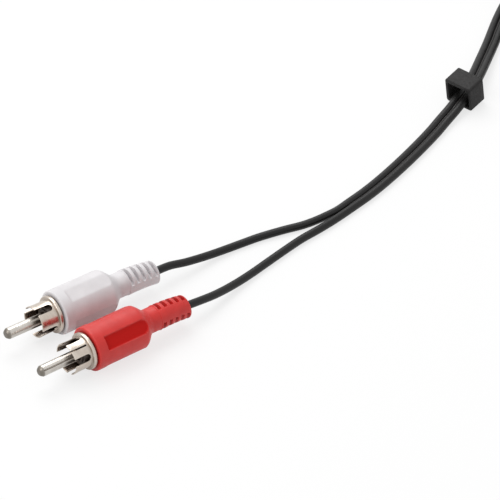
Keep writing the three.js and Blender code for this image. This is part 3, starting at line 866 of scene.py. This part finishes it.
materials = {
    "white_overmould": mouldedSkin("whiteSkin", finishes["whiteSkin"]),
    "red_overmould": mouldedSkin("redSkin", finishes["redSkin"]),
    "nickel_shell": nickelPlate("shellNickel", finishes["shellNickel"]),
    "nickel_pin": nickelPlate("pinNickel", finishes["pinNickel"]),
    "cord_jacket": cordJacket("blackJacket", finishes["jacket"]),
    "slider_plastic": blockGrain("sliderGrain", finishes["blockGrain"]),
    "insulator_plastic": plainPlastic("insulatorBlack", finishes["insulator"]),
    "inner_mould_plastic": plainPlastic("naturalPlastic", finishes["innerMould"]),
    "copper_wire": strandedCopper("bareCopper", finishes["copper"]),
}
slots = {row["node"]: row["material_slot"] for row in frame["record"]["subparts"]}
for node, slot in slots.items():
    cadMesh = nodes[node].data
    cadMesh.materials.clear()
    cadMesh.materials.append(materials[slot])
print("materials made")


def addToLead(piece, slot, *replaced):
    # gives a piece its material and its place in the frame, where it stands for the solids named
    piece.data.materials.clear()
    piece.data.materials.append(materials[slot])
    bpy.context.view_layer.update()
    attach(piece, "root")
    if replaced:
        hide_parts(*replaced)


for (place, part), piece in plugParts.items():
    node = place + "_" + part
    addToLead(piece, slots[node], node)
addToLead(slider, "slider_plastic", "slider_block")
addToLead(cordWeb, "cord_jacket")
addToLead(leftStrand, "cord_jacket", "near_left_tail", "twin_cord", "coiled_cord", "far_left_tail")
addToLead(rightStrand, "cord_jacket", "near_right_tail", "far_right_tail")


print("pieces seated")

studio = {
    "floorHalf": 4.0,
    "floorDrop": 0.02 * mm,
    "floorColour": (0.86, 0.86, 0.86),
    "floorGlow": 0.74,  # how far the floor is white by itself, which keeps its shadow faint
    "skyFill": 0.55,  # strength of the sky's light, where the camera sees the sky white
    "lamps": {  # place, size and power
        "backSoftbox": ((0.2, 0.68, 1.1), 1.0, 10.5),
        "leftSoftbox": ((-0.9, 0.0, 0.9), 0.7, 5.0),
    },
}


def seenBy(tree, share):
    # that share for what the camera, a mirror or glass sees, and nothing for other light
    path = tree.nodes.new("ShaderNodeLightPath")
    total = path.outputs["Is Camera Ray"]
    for other in ("Is Glossy Ray", "Is Transmission Ray"):
        most = tree.nodes.new("ShaderNodeMath")
        most.operation = "MAXIMUM"
        tree.links.new(total, most.inputs[0])
        tree.links.new(path.outputs[other], most.inputs[1])
        total = most.outputs[0]
    scaled = tree.nodes.new("ShaderNodeMath")
    scaled.operation = "MULTIPLY"
    scaled.inputs[1].default_value = share
    tree.links.new(total, scaled.inputs[0])
    return scaled.outputs[0]


def paleFloor():
    half = studio["floorHalf"]
    mesh = bpy.data.meshes.new("paleFloor")
    mesh.from_pydata([(-half, -half, 0), (half, -half, 0), (half, half, 0), (-half, half, 0)],
                     [], [(0, 1, 2, 3)])
    floor = bpy.data.objects.new("paleFloor", mesh)
    scene.collection.objects.link(floor)
    floor.location = (0, 0, -studio["floorDrop"])
    material = bpy.data.materials.new("paleFloor")
    material.use_nodes = True
    tree = material.node_tree
    shader = tree.nodes["Principled BSDF"]
    shader.inputs["Base Color"].default_value = (*studio["floorColour"], 1)
    shader.inputs["Roughness"].default_value = 0.9
    shader.inputs["Specular IOR Level"].default_value = 0.0
    glow = tree.nodes.new("ShaderNodeEmission")
    mix = tree.nodes.new("ShaderNodeMixShader")
    amount = seenBy(tree, studio["floorGlow"])
    tree.links.new(amount, mix.inputs["Fac"])
    tree.links.new(shader.outputs["BSDF"], mix.inputs[1])
    tree.links.new(glow.outputs["Emission"], mix.inputs[2])
    tree.links.new(mix.outputs["Shader"], tree.nodes["Material Output"].inputs["Surface"])
    mesh.materials.append(material)


def paleSky():
    world = bpy.data.worlds.new("paleSky")
    world.use_nodes = True
    tree = world.node_tree
    back = tree.nodes["Background"]
    back.inputs["Color"].default_value = (1, 1, 1, 1)
    lift = tree.nodes.new("ShaderNodeMath")
    lift.operation = "ADD"
    lift.inputs[1].default_value = studio["skyFill"]
    tree.links.new(seenBy(tree, 1 - studio["skyFill"]), lift.inputs[0])
    tree.links.new(lift.outputs[0], back.inputs["Strength"])
    scene.world = world


def softLamps():
    for name, (spot, size, power) in studio["lamps"].items():
        data = bpy.data.lights.new(name, "AREA")
        data.shape, data.size, data.energy = "SQUARE", size, power
        lamp = bpy.data.objects.new(name, data)
        scene.collection.objects.link(lamp)
        lamp.location = spot
        aim = Vector(spot) - Vector(photoView["target"])
        lamp.rotation_euler = aim.to_track_quat("Z", "Y").to_euler()


paleFloor()
paleSky()
softLamps()
scene.view_settings.view_transform = "Standard"
print("studio set")
